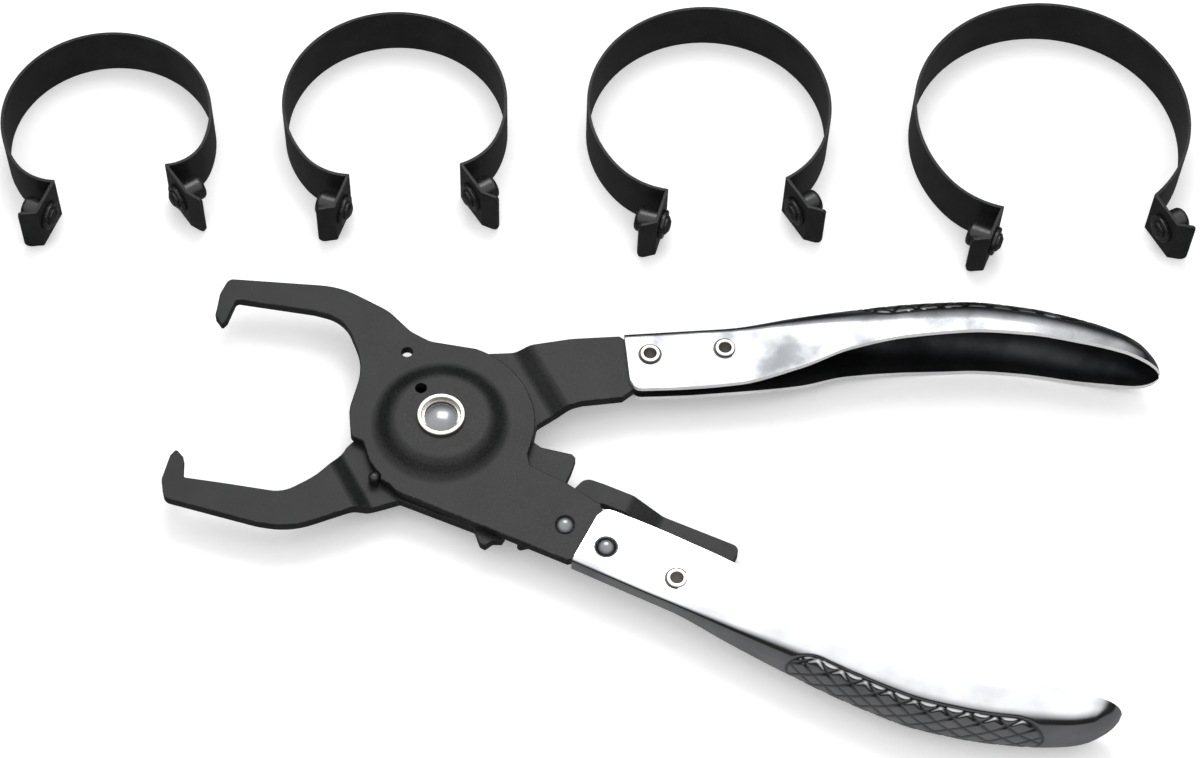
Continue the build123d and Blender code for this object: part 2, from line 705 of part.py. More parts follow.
# ---------------------------------------------------------------- ring bands
def band_strip(x, y, radius, left, right, left_turns, right_turns):
    """Open strip ring standing on edge, its ends bent into lugs and lips."""
    mid_r = radius - STRIP_T / 2
    base = Plane(origin=(PIVOT_X + x, PIVOT_Y + y, 0))
    left_end = degrees(atan2(left[1], left[0])) % 360 - 26
    right_end = degrees(atan2(right[1], right[0])) + 26
    with BuildPart() as strip:
        with BuildSketch(base):
            with BuildLine(mode=Mode.PRIVATE) as ring:
                arc = CenterArc((0, 0), mid_r, right_end, left_end - right_end)
                TangentArc(arc @ 1, left, tangent=arc % 1)
                TangentArc(arc @ 0, right, tangent=(arc % 0) * -1)
            trace(ring.line, line_width=STRIP_T)
            with Locations(left, right):
                Circle(STRIP_T / 2)
        extrude(amount=STRIP_W)
        for corner, turns, hand in ((left, left_turns, -1), (right, right_turns, 1)):
            lug = radians(turns[0])
            bend = (corner[0] + LUG_LENGTH * cos(lug), corner[1] + LUG_LENGTH * sin(lug))
            for start, heading, length, nip in (
                (corner, turns[0], LUG_LENGTH, 0),
                (bend, turns[1], LIP_LENGTH, 2.2),
            ):
                c = cos(radians(heading))
                s = sin(radians(heading))
                origin = (PIVOT_X + x + start[0], PIVOT_Y + y + start[1], 0)
                flat = Plane(origin=origin, x_dir=(c, s, 0), z_dir=(s, -c, 0))
                with BuildSketch(flat):
                    with BuildLine():
                        FilletPolyline(
                            [(0, 0), (length, 0), (length, STRIP_W), (0, STRIP_W)],
                            radius=[0, nip, nip / 2, 0],
                            close=True,
                        )
                    make_face()
                    if not nip:
                        with Locations((DRUM_ALONG, STRIP_W / 2)):
                            Circle(STUD_R, mode=Mode.SUBTRACT)
                extrude(amount=STRIP_T / 2, both=True)
            with BuildSketch(base):
                with Locations(bend):
                    Circle(STRIP_T / 2)
            extrude(amount=STRIP_W)
    return strip.part


def lug_plane(x, y, corner, heading, hand):
    """Section plane through a drum: first axis along the lug, second out to the drum."""
    c = cos(radians(heading))
    s = sin(radians(heading))
    middle = (corner[0] + DRUM_ALONG * c, corner[1] + DRUM_ALONG * s)
    origin = (PIVOT_X + x + middle[0], PIVOT_Y + y + middle[1], STRIP_W / 2)
    outward = (-hand * s, hand * c, 0)
    return Plane(origin=origin, x_dir=(c, s, 0), z_dir=(0, 0, hand)), origin, outward


def lug_drum(plane, origin, outward):
    """Drum with its stud through the lug, peened over the washer behind."""
    back = -STRIP_T / 2 - WASHER_T
    with BuildPart() as drum:
        with BuildSketch(plane):
            with BuildLine():
                FilletPolyline(
                    [
                        (0, back - 1.3),
                        (1.4, back - 1.3),
                        (2.7, back - 0.5),
                        (2.7, back),
                        (STUD_R, back),
                        (STUD_R, STRIP_T / 2),
                        (DRUM_R, STRIP_T / 2),
                        (DRUM_R, STRIP_T / 2 + DRUM_LENGTH),
                        (0, STRIP_T / 2 + DRUM_LENGTH),
                    ],
                    radius=[0, 0.8, 0.3, 0, 0, 0, 0, 1.4, 0],
                    close=True,
                )
            make_face()
        revolve(axis=Axis(origin, outward))
    return drum.part


def lug_washer(plane, origin, outward):
    """Washer between the lug and the peened stud end."""
    with BuildPart() as washer:
        with BuildSketch(plane):
            with BuildLine():
                FilletPolyline(
                    [
                        (STUD_R, -STRIP_T / 2),
                        (WASHER_R, -STRIP_T / 2),
                        (WASHER_R, -STRIP_T / 2 - WASHER_T),
                        (STUD_R, -STRIP_T / 2 - WASHER_T),
                    ],
                    radius=[0, 0.3, 0.5, 0],
                    close=True,
                )
            make_face()
        revolve(axis=Axis(origin, outward))
    return washer.part


for band, x, y, radius, left, right, left_turns, right_turns in BANDS:
    strip = band_strip(x, y, radius, left, right, left_turns, right_turns)
    strip.label = band + "_strip"
    export_step(strip, "parts/" + band + "_strip.step")
    for side, corner, turns, hand in (("left", left, left_turns, -1), ("right", right, right_turns, 1)):
        plane, origin, outward = lug_plane(x, y, corner, turns[0], hand)
        drum = lug_drum(plane, origin, outward)
        drum.label = band + "_" + side + "_drum"
        export_step(drum, "parts/" + band + "_" + side + "_drum.step")
        washer = lug_washer(plane, origin, outward)
        washer.label = band + "_" + side + "_washer"
        export_step(washer, "parts/" + band + "_" + side + "_washer.step")
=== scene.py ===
"""Ratcheting band pliers with four loose ring bands, dressed for the bench top."""

from __future__ import annotations

import json
import logging
import math
from dataclasses import dataclass
from enum import Enum
from typing import Any

import bpy
from mathutils import Matrix, Vector

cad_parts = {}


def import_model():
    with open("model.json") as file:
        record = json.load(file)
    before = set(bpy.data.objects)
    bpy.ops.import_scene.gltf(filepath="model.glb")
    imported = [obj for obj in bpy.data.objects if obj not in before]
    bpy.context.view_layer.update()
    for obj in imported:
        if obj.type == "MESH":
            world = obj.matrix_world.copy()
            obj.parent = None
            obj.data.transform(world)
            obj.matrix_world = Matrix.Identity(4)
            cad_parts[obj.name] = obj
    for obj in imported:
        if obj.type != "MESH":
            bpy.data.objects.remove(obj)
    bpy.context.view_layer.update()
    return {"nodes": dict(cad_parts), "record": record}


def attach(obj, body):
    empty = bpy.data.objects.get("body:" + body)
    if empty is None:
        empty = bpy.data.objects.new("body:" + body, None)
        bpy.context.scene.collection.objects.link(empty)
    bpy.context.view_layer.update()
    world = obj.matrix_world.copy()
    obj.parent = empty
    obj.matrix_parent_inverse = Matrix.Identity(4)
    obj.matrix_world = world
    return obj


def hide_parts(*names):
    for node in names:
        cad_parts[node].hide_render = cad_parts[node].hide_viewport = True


log = logging.getLogger("band_pliers")

MM = 0.001
PIVOT = Vector((-38.2, -31.9, 11.5))


class GripSide(Enum):
    """Which way a grip's closed spine faces, looking along it from the pivot."""

    LEFT = 1
    RIGHT = -1


class Slot(Enum):
    """Material slots of the record that pieces take their finish from."""

    BLACK_STEEL = "black_steel"
    BLACK_FIXING = "black_fixing"
    BRIGHT_HANDLE = "bright_handle"
    BRIGHT_FIXING = "bright_fixing"
    SPRING_WIRE = "spring_wire"


# ------------------------------------------------------------------ small tools
def linear(code: str) -> tuple[float, float, float, float]:
    """Turn an sRGB hex colour into the linear values that shaders use.

    Args:
        code: Six hex digits with a leading hash.

    Returns:
        Linear red, green and blue, with alpha 1.
    """
    channels = [int(code[i : i + 2], 16) / 255 for i in (1, 3, 5)]
    bent = [c / 12.92 if c <= 0.04045 else ((c + 0.055) / 1.055) ** 2.4 for c in channels]
    return (bent[0], bent[1], bent[2], 1.0)


def per_metre(size_mm: float) -> float:
    """Texture scale whose features are size_mm across.

    Args:
        size_mm: Width of a feature in millimetres.

    Returns:
        Scale for object coordinates in metres.
    """
    return 1000.0 / size_mm


def add_node(
    tree: bpy.types.NodeTree,
    kind: str,
    inputs: dict[Any, Any] | None = None,
    stops: list[tuple[float, tuple[float, float, float, float]]] | None = None,
    **settings: Any,
) -> bpy.types.Node:
    """Add one shader node with its settings, values and links.

    Args:
        tree: Node tree to add to.
        kind: Blender's node type name.
        inputs: Input name or index to a constant, or to the output socket that feeds it.
        stops: Position and linear colour of each stop, in order, for a colour ramp.
        **settings: Attributes of the node itself.

    Returns:
        The new node.
    """
    node = tree.nodes.new(kind)
    for name, value in settings.items():
        setattr(node, name, value)
    for key, value in (inputs or {}).items():
        if isinstance(value, bpy.types.NodeSocket):
            tree.links.new(value, node.inputs[key])
        else:
            node.inputs[key].default_value = value
    for index, (position, colour) in enumerate(stops or []):
        elements = node.color_ramp.elements
        element = elements[index] if index < 2 else elements.new(position)
        element.position = position
        element.color = colour
    return node


def blank_material(name: str) -> tuple[bpy.types.Material, bpy.types.NodeTree]:
    """New node material with an empty tree.

    Args:
        name: Name of the finish.

    Returns:
        The material and its node tree.
    """
    material = bpy.data.materials.new(name)
    material.use_nodes = True
    material.node_tree.nodes.clear()
    return material, material.node_tree


# ------------------------------------------------------------------ finishes
@dataclass(frozen=True)
class BlackOxideSteel:
    """Mild steel plate and strip, stamped and then chemically blackened and oiled.

    The eye sees a near-black satin with a fine even grain, paler where corners rub.
    """

    name: str = "blackened_stamped_steel"
    dark: str = "#0c0d0d"
    light: str = "#252726"
    worn: str = "#8b8d8a"
    roughness: float = 0.44
    sheen_level: float = 0.30
    scuffing: float = 0.75
    grain_mm: float = 0.45
    mottle_mm: float = 9.0
    scuff_mm: float = 2.2
    edge_mm: float = 0.35

    def material(self) -> bpy.types.Material:
        """Build the node material.

        Returns:
            The finished material.
        """
        material, tree = blank_material(self.name)
        place = add_node(tree, "ShaderNodeTexCoord").outputs["Object"]
        grain = add_node(
            tree,
            "ShaderNodeTexNoise",
            {"Vector": place, "Scale": per_metre(self.grain_mm), "Detail": 3.0},
        ).outputs["Fac"]
        mottle = add_node(
            tree,
            "ShaderNodeTexNoise",
            {"Vector": place, "Scale": per_metre(self.mottle_mm), "Detail": 4.0},
        ).outputs["Fac"]
        scuff = add_node(
            tree,
            "ShaderNodeTexNoise",
            {"Vector": place, "Scale": per_metre(self.scuff_mm), "Detail": 6.0, "Roughness": 0.75},
        ).outputs["Fac"]
        blend = add_node(
            tree, "ShaderNodeMath", {0: mottle, 1: 0.35, 2: grain}, operation="MULTIPLY_ADD"
        ).outputs[0]
        skin = add_node(
            tree,
            "ShaderNodeValToRGB",
            {"Fac": blend},
            stops=[(0.50, linear(self.dark)), (0.86, linear(self.light))],
        ).outputs["Color"]
        rounded = add_node(
            tree, "ShaderNodeBevel", {"Radius": self.edge_mm * MM}, samples=4
        ).outputs["Normal"]
        flat = add_node(tree, "ShaderNodeNewGeometry").outputs["Normal"]
        facing = add_node(
            tree, "ShaderNodeVectorMath", {0: rounded, 1: flat}, operation="DOT_PRODUCT"
        ).outputs["Value"]
        corner = add_node(
            tree,
            "ShaderNodeMapRange",
            {"Value": facing, "From Min": 0.985, "From Max": 0.86, "To Min": 0.0, "To Max": 1.0},
        ).outputs["Result"]
        patch = add_node(
            tree,
            "ShaderNodeMapRange",
            {
                "Value": scuff,
                "From Min": 0.44,
                "From Max": 0.66,
                "To Min": 0.05,
                "To Max": self.scuffing,
            },
        ).outputs["Result"]
        wear = add_node(
            tree, "ShaderNodeMath", {0: corner, 1: patch}, operation="MULTIPLY"
        ).outputs[0]
        speck = add_node(
            tree,
            "ShaderNodeMapRange",
            {"Value": scuff, "From Min": 0.735, "From Max": 0.80, "To Min": 0.0, "To Max": 0.5},
        ).outputs["Result"]
        bare = add_node(
            tree, "ShaderNodeMath", {0: wear, 1: speck}, operation="MAXIMUM"
        ).outputs[0]
        colour = add_node(
            tree,
            "ShaderNodeMix",
            {0: bare, 6: skin, 7: linear(self.worn)},
            data_type="RGBA",
        ).outputs[2]
        rough = add_node(
            tree,
            "ShaderNodeMapRange",
            {
                "Value": grain,
                "From Min": 0.3,
                "From Max": 0.7,
                "To Min": self.roughness - 0.08,
                "To Max": self.roughness + 0.10,
            },
        ).outputs["Result"]
        bump = add_node(
            tree,
            "ShaderNodeBump",
            {"Height": grain, "Strength": 0.25, "Distance": 0.00006, "Normal": rounded},
        ).outputs["Normal"]
        shader = add_node(
            tree,
            "ShaderNodeBsdfPrincipled",
            {
                "Base Color": colour,
                "Metallic": bare,
                "Roughness": rough,
                "Specular IOR Level": self.sheen_level,
                "Normal": bump,
            },
        )
        add_node(tree, "ShaderNodeOutputMaterial", {"Surface": shader.outputs[0]})
        return material


@dataclass(frozen=True)
class PlatedMetal:
    """Steel with a thin bright plate, nickel on the handles and zinc on the eyelets.

    The eye sees sharp reflections broken by short fine rub marks and faint smears.
    """

    name: str
    tint: str
    smear: str
    roughness: float
    scratch_mm: float = 0.5
    smear_mm: float = 14.0
    # Painted shade: colour mixed into the pressed knurl grooves to darken the creases.
    painted_shade: str = "#2e2f30"
    metal: float = 1.0

    def material(self) -> bpy.types.Material:
        """Build the node material.

        Returns:
            The finished material.
        """
        material, tree = blank_material(self.name)
        place = add_node(tree, "ShaderNodeTexCoord").outputs["Object"]
        stretched = add_node(
            tree,
            "ShaderNodeMapping",
            {"Vector": place, "Scale": (0.12, 1.0, 1.0), "Rotation": (0.0, 0.0, 0.2)},
        ).outputs["Vector"]
        lines = add_node(
            tree,
            "ShaderNodeTexNoise",
            {"Vector": stretched, "Scale": per_metre(self.scratch_mm), "Detail": 4.0},
        ).outputs["Fac"]
        smears = add_node(
            tree,
            "ShaderNodeTexNoise",
            {"Vector": place, "Scale": per_metre(self.smear_mm), "Detail": 5.0},
        ).outputs["Fac"]
        tone = add_node(
            tree,
            "ShaderNodeValToRGB",
            {"Fac": smears},
            stops=[(0.35, linear(self.smear)), (0.62, linear(self.tint))],
        ).outputs["Color"]
        # Painted shade: the groove depth stored on the grip mesh as 'pressed' darkens the colour
        # in the knurl creases.
        pressed = add_node(
            tree, "ShaderNodeAttribute", attribute_name="pressed", attribute_type="GEOMETRY"
        ).outputs["Fac"]
        groove_painted_shade = add_node(
            tree,
            "ShaderNodeMix",
            {0: pressed, 6: tone, 7: linear(self.painted_shade)},
            data_type="RGBA",
        ).outputs[2]
        rough = add_node(
            tree,
            "ShaderNodeMapRange",
            {
                "Value": smears,
                "From Min": 0.3,
                "From Max": 0.7,
                "To Min": self.roughness + 0.10,
                "To Max": self.roughness - 0.02,
            },
        ).outputs["Result"]
        bump = add_node(
            tree,
            "ShaderNodeBump",
            {"Height": lines, "Strength": 0.10, "Distance": 0.00002},
        ).outputs["Normal"]
        shader = add_node(
            tree,
            "ShaderNodeBsdfPrincipled",
            {
                "Base Color": groove_painted_shade,
                "Metallic": self.metal,
                "Roughness": rough,
                "Normal": bump,
            },
        )
        add_node(tree, "ShaderNodeOutputMaterial", {"Surface": shader.outputs[0]})
        return material


@dataclass(frozen=True)
class BlackLacquer:
    """Turned steel stud or rivet, black lacquered.

    The eye sees a small hard highlight on a deep black, dulled by fine dust.
    """

    name: str = "black_lacquered_fixing"
    dark: str = "#0f1010"
    light: str = "#2a2b2c"
    roughness: float = 0.26
    grain_mm: float = 0.6

    def material(self) -> bpy.types.Material:
        """Build the node material.

        Returns:
            The finished material.
        """
        material, tree = blank_material(self.name)
        place = add_node(tree, "ShaderNodeTexCoord").outputs["Object"]
        grain = add_node(
            tree,
            "ShaderNodeTexNoise",
            {"Vector": place, "Scale": per_metre(self.grain_mm), "Detail": 4.0},
        ).outputs["Fac"]
        tone = add_node(
            tree,
            "ShaderNodeValToRGB",
            {"Fac": grain},
            stops=[(0.35, linear(self.dark)), (0.75, linear(self.light))],
        ).outputs["Color"]
        rough = add_node(
            tree,
            "ShaderNodeMapRange",
            {
                "Value": grain,
                "From Min": 0.3,
                "From Max": 0.7,
                "To Min": self.roughness - 0.06,
                "To Max": self.roughness + 0.12,
            },
        ).outputs["Result"]
        bump = add_node(
            tree, "ShaderNodeBump", {"Height": grain, "Strength": 0.12, "Distance": 0.00004}
        ).outputs["Normal"]
        shader = add_node(
            tree,
            "ShaderNodeBsdfPrincipled",
            {"Base Color": tone, "Roughness": rough, "Normal": bump, "IOR": 1.55},
        )
        add_node(tree, "ShaderNodeOutputMaterial", {"Surface": shader.outputs[0]})
        return material


@dataclass(frozen=True)
class BenchPaper:
    """Matt white backing paper, which gives a plain ground with a faint tooth."""

    name: str = "white_backing_paper"
    tone: str = "#f4f4f4"
    shade: str = "#f0f0f0"
    tooth_mm: float = 3.0
    glow: float = 0.25

    def material(self) -> bpy.types.Material:
        """Build the node material.

        Returns:
            The finished material.
        """
        material, tree = blank_material(self.name)
        place = add_node(tree, "ShaderNodeTexCoord").outputs["Object"]
        tooth = add_node(
            tree, "ShaderNodeTexNoise", {"Vector": place, "Scale": per_metre(self.tooth_mm)}
        ).outputs["Fac"]
        tone = add_node(
            tree,
            "ShaderNodeValToRGB",
            {"Fac": tooth},
            stops=[(0.3, linear(self.shade)), (0.7, linear(self.tone))],
        ).outputs["Color"]
        shader = add_node(
            tree,
            "ShaderNodeBsdfPrincipled",
            {
                "Base Color": tone,
                "Roughness": 0.9,
                "Emission Color": (1.0, 1.0, 1.0, 1.0),
                "Emission Strength": self.glow,
            },
        )
        add_node(tree, "ShaderNodeOutputMaterial", {"Surface": shader.outputs[0]})
        return material


# ------------------------------------------------------------------ channel grips
@dataclass
class ChannelGrip:
    """Pressed sheet grip: an open channel with a rounded spine and a knurled palm."""

    node: str
    body: str
    start: tuple[float, float]
    heading: float
    side: GripSide
    wall: float = 1.5
    knurl_from: float = 62.0
    knurl_to: float = 128.0
    knurl_half: float = 8.4
    diamond_long: float = 6.6
    diamond_wide: float = 5.6
    groove_depth: float = 0.34
    groove_half: float = 0.42
    rim_corner: float = 3.0
    holes: tuple[float, ...] = (6.2, 26.6)
    hole_depth: float = 7.7
    hole_radius: float = 2.2
    stations: tuple[tuple[float, float, float, float, float], ...] = (
        (0.0, 0.0, -18.0, 6.1, 2.0),
        (20.0, -0.4, -18.8, 6.1, 2.0),
        (29.0, -0.6, -18.7, 6.6, 2.2),
        (46.0, 0.4, -16.7, 12.2, 4.6),
        (60.0, 1.0, -13.4, 17.0, 7.0),
        (75.0, 1.3, -12.3, 21.0, 9.0),
        (92.0, 0.7, -12.7, 22.9, 10.0),
        (108.0, -2.4, -15.0, 22.9, 10.0),
        (122.0, -7.15, -18.8, 22.0, 9.4),
        (133.0, -12.55, -22.0, 19.0, 7.4),
        (138.0, -16.0, -23.9, 15.6, 5.8),
        (141.0, -19.4, -24.9, 11.2, 4.2),
        (142.7, -22.2, -25.3, 6.4, 2.4),
        (143.3, -24.0, -25.4, 2.4, 1.0),
    )

    def at(self, along: float) -> tuple[float, float, float, float]:
        """Spine line, rim line, width and corner radius at a distance along the grip.

        Args:
            along: Distance from the tang end in millimetres.

        Returns:
            The four sizes, read from a smooth curve through the stations.
        """
        rows = self.stations
        index = 0
        while index < len(rows) - 2 and along > rows[index + 1][0]:
            index += 1
        left, right = rows[index], rows[index + 1]
        gap = right[0] - left[0]
        t = (along - left[0]) / gap
        before = rows[max(index - 1, 0)]
        after = rows[min(index + 2, len(rows) - 1)]
        found = []
        for k in range(1, 5):
            step = (right[k] - left[k]) / gap
            slope_a = self._slope(before, left, step, k)
            slope_b = self._slope(right, after, step, k)
            found.append(
                (2 * t**3 - 3 * t**2 + 1) * left[k]
                + (t**3 - 2 * t**2 + t) * gap * slope_a
                + (-2 * t**3 + 3 * t**2) * right[k]
                + (t**3 - t**2) * gap * slope_b
            )
        short = max(self.rim_corner - along, 0.0)
        cut = self.rim_corner - math.sqrt(self.rim_corner**2 - short**2)
        return (found[0], found[1] + cut, found[2], found[3])

    @staticmethod
    def _slope(
        first: tuple[float, ...], second: tuple[float, ...], inner: float, k: int
    ) -> float:
        """Slope at a station, flat where the curve turns, so that it never overshoots.

        Args:
            first: Station on one side.
            second: Station on the other side.
            inner: Slope of the stretch that is being drawn.
            k: Column of the stations.

        Returns:
            Change of the size per millimetre along the grip.
        """
        if first[0] == second[0]:
            return inner
        outer = (second[k] - first[k]) / (second[0] - first[0])
        if inner * outer <= 0:
            return 0.0
        return 2 * inner * outer / (inner + outer)

    def place(self, along: float, outward: float, height: float) -> Vector:
        """Point of the shared frame, in metres, from grip sizes in millimetres.

        Args:
            along: Distance from the tang end.
            outward: Distance out from the spine line.
            height: Height over the middle of the plates.

        Returns:
            The point.
        """
        turn = math.radians(self.heading)
        c, s = math.cos(turn), math.sin(turn)
        hand = self.side.value
        x = self.start[0] + along * c - hand * outward * s
        y = self.start[1] + along * s + hand * outward * c
        return (PIVOT + Vector((x, y, height))) * MM

    def profile(self, along: float, inset: float, count: int) -> list[tuple[float, float, float]]:
        """Half channel outline from the spine's middle to the rim.

        Args:
            along: Distance from the tang end.
            inset: How far inside the outer skin the outline runs.
            count: Number of points.

        Returns:
            Outward place, height and outline distance from the middle of each point.
        """
        spine, rim, width, corner = self.at(along)
        inset = min(inset, width / 2 - 0.3, (spine - rim) / 2)
        half = width / 2 - inset
        top = spine - inset
        radius = min(max(min(corner, width / 2 - 0.05) - inset, 0.4), half - 0.01)
        flat = half - radius
        arc = radius * math.pi / 2
        side_run = max(top - radius - rim, 0.2)
        dense = int(count * 0.72)
        points = []
        bend_run = flat + arc
        for i in range(count):
            if i <= dense:
                run = bend_run * i / dense
            else:
                run = bend_run + side_run * (i - dense) / (count - 1 - dense)
            if run <= flat:
                points.append((top, run, run))
            elif run <= bend_run:
                angle = (run - flat) / radius
                points.append(
                    (
                        top - radius + radius * math.cos(angle),
                        flat + radius * math.sin(angle),
                        run,
                    )
                )
            else:
                points.append((top - radius - (run - bend_run), half, run))
        return points

    def groove(self, along: float, across: float) -> float:
        """Depth of the pressed diamond lines at a place on the outer skin.

        Args:
            along: Distance from the tang end.
            across: Outline distance from the middle of the spine, signed.

        Returns:
            Depth in millimetres, 0 away from the lines.
        """
        middle = (self.knurl_from + self.knurl_to) / 2
        reach = (self.knurl_to - self.knurl_from) / 2
        end = max(abs(along - middle) - (reach - self.knurl_half), 0.0)
        edge = math.hypot(end, across) - self.knurl_half
        if edge > 2 * self.groove_half:
            return 0.0
        a = along / self.diamond_long + across / self.diamond_wide
        b = along / self.diamond_long - across / self.diamond_wide
        lean = 1 / math.hypot(1 / self.diamond_long, 1 / self.diamond_wide)
        near = min(abs(a - round(a)), abs(b - round(b))) * lean
        if edge > 0:
            near = edge
        near = min(near, abs(edge))
        return self.groove_depth * math.exp(-((near / self.groove_half) ** 2))

    def steps(self) -> list[float]:
        """Distances of the mesh's cross sections, close together over the knurl."""
        places = []
        along = 0.0
        last = self.stations[-1][0]
        while along < last:
            places.append(along)
            fine = self.knurl_from - 2 <= along <= self.knurl_to + 2
            along += 0.34 if fine or along > 136 else 1.0
        places.append(last)
        return places

    def build(self, half_count: int = 58) -> bpy.types.Object:
        """Make the closed channel mesh.

        Args:
            half_count: Outline points from the spine's middle to the rim.

        Returns:
            The grip object.
        """
        rings = []
        pressed = []
        for along in self.steps():
            outer = self.profile(along, 0.0, half_count)
            inner = self.profile(along, self.wall, half_count)
            ring = []
            for sign, run in ((-1, reversed(outer)), (1, outer[1:])):
                for outward, height, distance in run:
                    dent = self.groove(along, sign * distance)
                    ring.append(self.sink(along, outward, sign * height, dent))
                    # Weight of the painted shade in the knurl grooves, read by the plate finish.
                    pressed.append(0.7 * dent / self.groove_depth)
            for outward, height, _ in reversed(inner):
                ring.append(self.place(along, outward, height))
            for outward, height, _ in inner[1:]:
                ring.append(self.place(along, outward, -height))
            pressed.extend([0.0] * (len(ring) - len(outer) * 2 + 1))
            rings.append(ring)
        piece = self.skin(rings, half_count)
        depth = piece.data.attributes.new("pressed", "FLOAT", "POINT")
        depth.data.foreach_set("value", pressed)
        return piece

    def sink(self, along: float, outward: float, height: float, dent: float) -> Vector:
        """Outer skin point pushed in towards the channel's heart line.

        Args:
            along: Distance from the tang end.
            outward: Distance out from the spine line.
            height: Height over the middle of the plates.
            dent: Depth that the point is pushed in.

        Returns:
            The point in the shared frame, in metres.
        """
        spine, _, width, corner = self.at(along)
        heart = spine - corner
        flat = width / 2 - corner
        side = max(abs(height) - flat, 0.0)
        depth = max(outward - heart, 0.0)
        length = math.hypot(side, depth) or 1.0
        sign = 1 if height >= 0 else -1
        return self.place(
            along, outward - dent * depth / length, height - sign * dent * side / length
        )

    def skin(self, rings: list[list[Vector]], half_count: int) -> bpy.types.Object:
        """Join cross sections into one closed mesh.

        Args:
            rings: Cross sections with the same number of points, in order.
            half_count: Outline points from the spine's middle to the rim.

        Returns:
            The grip object, with material indices for skin, inside and rim.
        """
        count = len(rings[0])
        rims = (2 * half_count - 2, count - 1)
        parts = []
        verts = [tuple(point) for ring in rings for point in ring]
        faces = []
        for row in range(len(rings) - 1):
            for i in range(count):
                j = (i + 1) % count
                a, b = row * count, (row + 1) * count
                faces.append((a + i, a + j, b + j, b + i))
                parts.append(2 if i in rims else int(i > rims[0]))
        half = count // 2
        last = (len(rings) - 1) * count
        for i in range(half - 1):
            faces.append((i, count - 1 - i, count - 2 - i, i + 1))
            faces.append((last + i + 1, last + count - 2 - i, last + count - 1 - i, last + i))
        mesh = bpy.data.meshes.new(self.node + "_shell")
        mesh.from_pydata(verts, [], faces)
        mesh.polygons.foreach_set("material_index", parts + [2] * (len(faces) - len(parts)))
        mesh.update()
        piece = bpy.data.objects.new(self.node + "_shell", mesh)
        bpy.context.scene.collection.objects.link(piece)
        return piece

    def drill(self, piece: bpy.types.Object) -> None:
        """Cut the fixing holes through both walls of the shell.

        Args:
            piece: The shell.
        """
        for along in self.holes:
            centre = self.place(along, -self.hole_depth, 0.0)
            bpy.ops.mesh.primitive_cylinder_add(
                vertices=48, radius=self.hole_radius * MM, depth=0.02, location=centre
            )
            drill = bpy.context.active_object
            cut = piece.modifiers.new("fixing_hole", "BOOLEAN")
            cut.operation = "DIFFERENCE"
            cut.solver = "EXACT"
            cut.object = drill
            graph = bpy.context.evaluated_depsgraph_get()
            mesh = bpy.data.meshes.new_from_object(piece.evaluated_get(graph))
            piece.modifiers.remove(cut)
            piece.data = mesh
            bpy.data.objects.remove(drill)

    def seat_shadows(self, painted_shade: bpy.types.Material) -> None:
        """Lay a thin dark ring round the head of each fixing, a painted shadow where the head
        meets the grip.

        Args:
            painted_shade: Dark finish of the ring, which paints that shadow.
        """
        for along in self.holes:
            centre = self.place(along, -self.hole_depth, self.at(along)[2] / 2 + 0.03)
            verts, faces = [], []
            count = 48
            for i in range(count):
                turn = 2 * math.pi * i / count
                for radius, rise in ((2.7, 0.0), (3.2, 0.0), (3.2, 0.04), (2.7, 0.04)):
                    shift = Vector((radius * math.cos(turn), radius * math.sin(turn), rise))
                    verts.append(tuple(centre + shift * MM))
                for k in range(4):
                    a, b = 4 * i, 4 * ((i + 1) % count)
                    faces.append((a + k, b + k, b + (k + 1) % 4, a + (k + 1) % 4))
            mesh = bpy.data.meshes.new(self.node + "_seat_shadow")
            mesh.from_pydata(verts, [], faces)
            mesh.materials.append(painted_shade)
            ring = bpy.data.objects.new(self.node + "_seat_shadow", mesh)
            bpy.context.scene.collection.objects.link(ring)
            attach(ring, self.body)
            log.info("laid %s", ring.name)

    def dress(self, piece: bpy.types.Object, coats: list[bpy.types.Material]) -> None:
        """Give the shell its finishes, its body and the node it stands for.

        Args:
            piece: The shell.
            coats: Finishes of the skin, the inside (darkened as painted shade) and the rim
                (lightened as painted highlight).
        """
        mesh = piece.data
        for coat in coats:
            mesh.materials.append(coat)
        for polygon in mesh.polygons:
            polygon.use_smooth = True
        mesh.set_sharp_from_angle(angle=math.radians(50))
        self.drill(piece)
        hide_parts(self.node)
        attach(piece, self.body)


# ------------------------------------------------------------------ dressing of the CAD nodes
@dataclass
class Dresser:
    """Puts the right finish on each kept CAD node.

    The pieces named in special have a finish of their own, the others their slot's.
    """

    finishes: dict[Slot, bpy.types.Material]
    special: dict[str, bpy.types.Material]

    def dress(self, nodes: dict[str, bpy.types.Object], slots: dict[str, str]) -> None:
        """Assign the finishes.

        Args:
            nodes: Node name to object.
            slots: Node name to material slot.
        """
        for name, piece in nodes.items():
            material = self.special.get(name, self.finishes[Slot(slots[name])])
            for index in range(max(len(piece.material_slots), 1)):
                if index < len(piece.material_slots):
                    piece.material_slots[index].material = material
                else:
                    piece.data.materials.append(material)
            log.info("dressed %s as %s", name, material.name)


